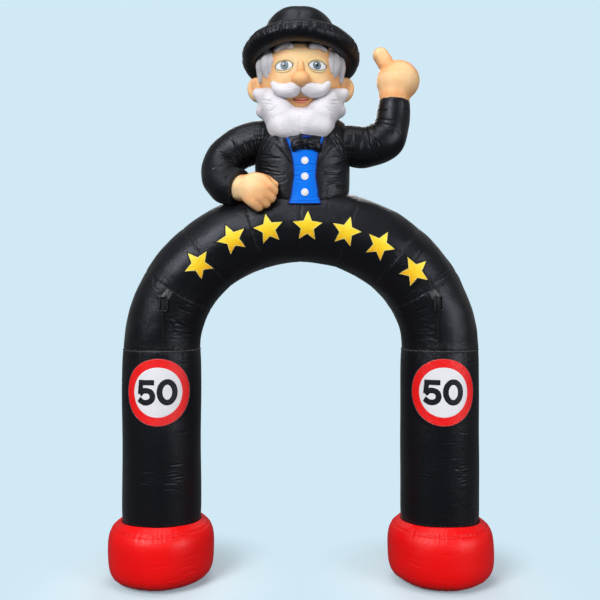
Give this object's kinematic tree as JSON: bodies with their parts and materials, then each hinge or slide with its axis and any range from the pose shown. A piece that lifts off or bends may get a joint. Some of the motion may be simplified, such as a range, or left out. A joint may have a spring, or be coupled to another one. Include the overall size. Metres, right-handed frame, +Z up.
{
  "type": "inflatable party arch",
  "caption": "Inflatable walk-through party arch: puffed feet, straight legs and a gored bow, with a seated gentleman in a bowler hat waving on top.",
  "frame": {"origin": "on the floor, midway between the legs, at the bottom centre of the bounding box", "axes": "+Z up, the front with the figure's face looks along -Y, +X to the right as seen from the front"},
  "size_m": [2.6854, 0.8012, 4.0125],
  "materials": {
    "black_nylon": "coated satin nylon",
    "red_nylon": "coated satin nylon",
    "blue_nylon": "coated satin nylon",
    "white_nylon": "coated satin nylon",
    "grey_nylon": "coated satin nylon",
    "skin_nylon": "coated satin nylon",
    "webbing": "woven polyester",
    "black_steel": "satin black powder coat",
    "black_plastic": "fine moulded texture"
  },
  "bodies": {
    "arch": {"left_foot": "red_nylon", "right_foot": "red_nylon", "left_leg": "black_nylon", "right_leg": "black_nylon", "left_seam_welt": "webbing", "right_seam_welt": "webbing", "arch_bow": "black_nylon", "left_number_disc": "red_nylon", "right_number_disc": "red_nylon", "coat_body": "black_nylon", "waistcoat_panel": "blue_nylon", "waistcoat_button_1": "white_nylon", "waistcoat_button_2": "white_nylon", "waistcoat_button_3": "white_nylon", "bow_tie": "black_nylon", "raised_sleeve": "black_nylon", "resting_sleeve": "black_nylon", "raised_hand": "skin_nylon", "resting_hand": "skin_nylon", "head": "skin_nylon", "left_ear": "skin_nylon", "right_ear": "skin_nylon", "nose": "skin_nylon", "left_eyebrow": "grey_nylon", "right_eyebrow": "grey_nylon", "left_hair": "grey_nylon", "right_hair": "grey_nylon", "left_moustache": "white_nylon", "right_moustache": "white_nylon", "beard": "white_nylon", "hat_crown": "black_nylon", "hat_brim": "black_nylon", "left_front_tab": "webbing", "right_front_tab": "webbing", "left_rear_tab": "webbing", "right_rear_tab": "webbing", "blower_duct": "black_plastic", "blower_grille": "black_steel", "blower_spider": "black_plastic", "blower_motor": "black_steel", "cable_gland": "black_plastic", "left_zip_tape": "webbing", "right_zip_tape": "webbing"},
    "impeller": {"blower_impeller": "black_plastic"},
    "left_front_ring": {"left_front_ring": "black_steel", "left_front_hitch": "webbing", "left_front_line": "webbing", "left_front_knot": "webbing"},
    "left_rear_ring": {"left_rear_ring": "black_steel"},
    "left_slider": {"left_zip_slider": "black_steel"},
    "left_pull": {"left_zip_pull": "black_steel"},
    "right_front_ring": {"right_front_ring": "black_steel", "right_front_hitch": "webbing", "right_front_line": "webbing", "right_front_knot": "webbing"},
    "right_rear_ring": {"right_rear_ring": "black_steel"},
    "right_slider": {"right_zip_slider": "black_steel"},
    "right_pull": {"right_zip_pull": "black_steel"}
  },
  "joints": [
    {"name": "blower_impeller_spin", "type": "hinge", "parent": "arch", "child": "impeller", "pos_m": [-0.974, 0.2, 0.66], "axis": [0, 1, 0], "continuous": true},
    {"name": "left_front_ring_swing", "type": "hinge", "parent": "arch", "child": "left_front_ring", "pos_m": [-0.915, -0.2739, 1.969], "axis": [-1, 0, 0], "range_deg": [0, 150]},
    {"name": "left_rear_ring_swing", "type": "hinge", "parent": "arch", "child": "left_rear_ring", "pos_m": [-0.915, 0.2739, 1.969], "axis": [1, 0, 0], "range_deg": [0, 150]},
    {"name": "left_zip_slide", "type": "slide", "parent": "arch", "child": "left_slider", "axis": [0, 0, -1], "range_m": [0, 0.447]},
    {"name": "left_zip_pull_swing", "type": "hinge", "parent": "left_slider", "child": "left_pull", "pos_m": [-0.974, 0.28173, 1.3556], "axis": [1, 0, 0], "range_deg": [0, 150]},
    {"name": "right_front_ring_swing", "type": "hinge", "parent": "arch", "child": "right_front_ring", "pos_m": [0.915, -0.2739, 1.969], "axis": [-1, 0, 0], "range_deg": [0, 150]},
    {"name": "right_rear_ring_swing", "type": "hinge", "parent": "arch", "child": "right_rear_ring", "pos_m": [0.915, 0.2739, 1.969], "axis": [1, 0, 0], "range_deg": [0, 150]},
    {"name": "right_zip_slide", "type": "slide", "parent": "arch", "child": "right_slider", "axis": [0, 0, -1], "range_m": [0, 0.447]},
    {"name": "right_zip_pull_swing", "type": "hinge", "parent": "right_slider", "child": "right_pull", "pos_m": [0.974, 0.28173, 1.3556], "axis": [1, 0, 0], "range_deg": [0, 150]}
  ]
}
